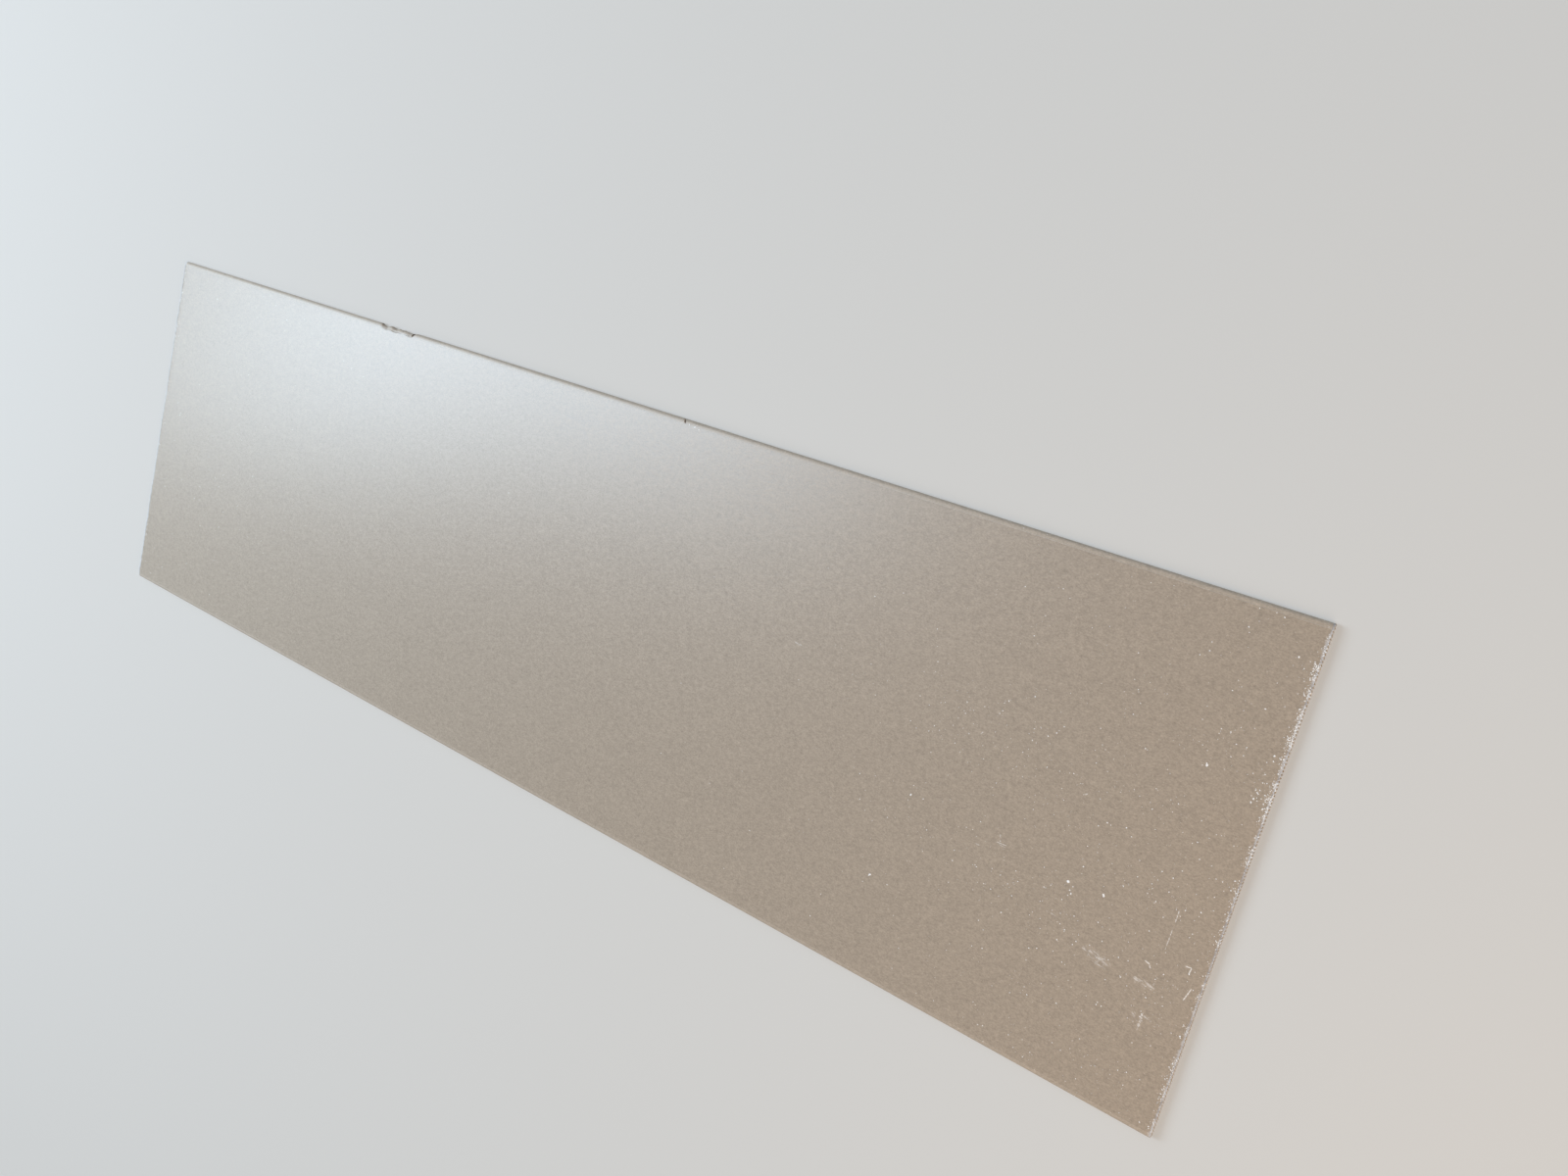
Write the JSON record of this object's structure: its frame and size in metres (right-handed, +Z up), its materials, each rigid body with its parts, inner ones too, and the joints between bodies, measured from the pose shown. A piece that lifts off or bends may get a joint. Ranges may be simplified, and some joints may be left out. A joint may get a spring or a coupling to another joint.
{
  "type": "drywall sheet",
  "caption": "Flat plasterboard sheet with full-round long edges, a lapped back liner and toothed factory-cut ends, lying flat.",
  "frame": {"origin": "middle of the sheet's underside, on the floor that it lies on", "axes": "+X along the sheet's length, +Y across its width, +Z up out of the back of the board, the side where the liner laps"},
  "size_m": [2, 0.6, 0.0095],
  "materials": {
    "liner_paper": "matte",
    "gypsum_core": "matte"
  },
  "bodies": {
    "root": {"drywall_sheet": "liner_paper"}
  },
  "joints": []
}
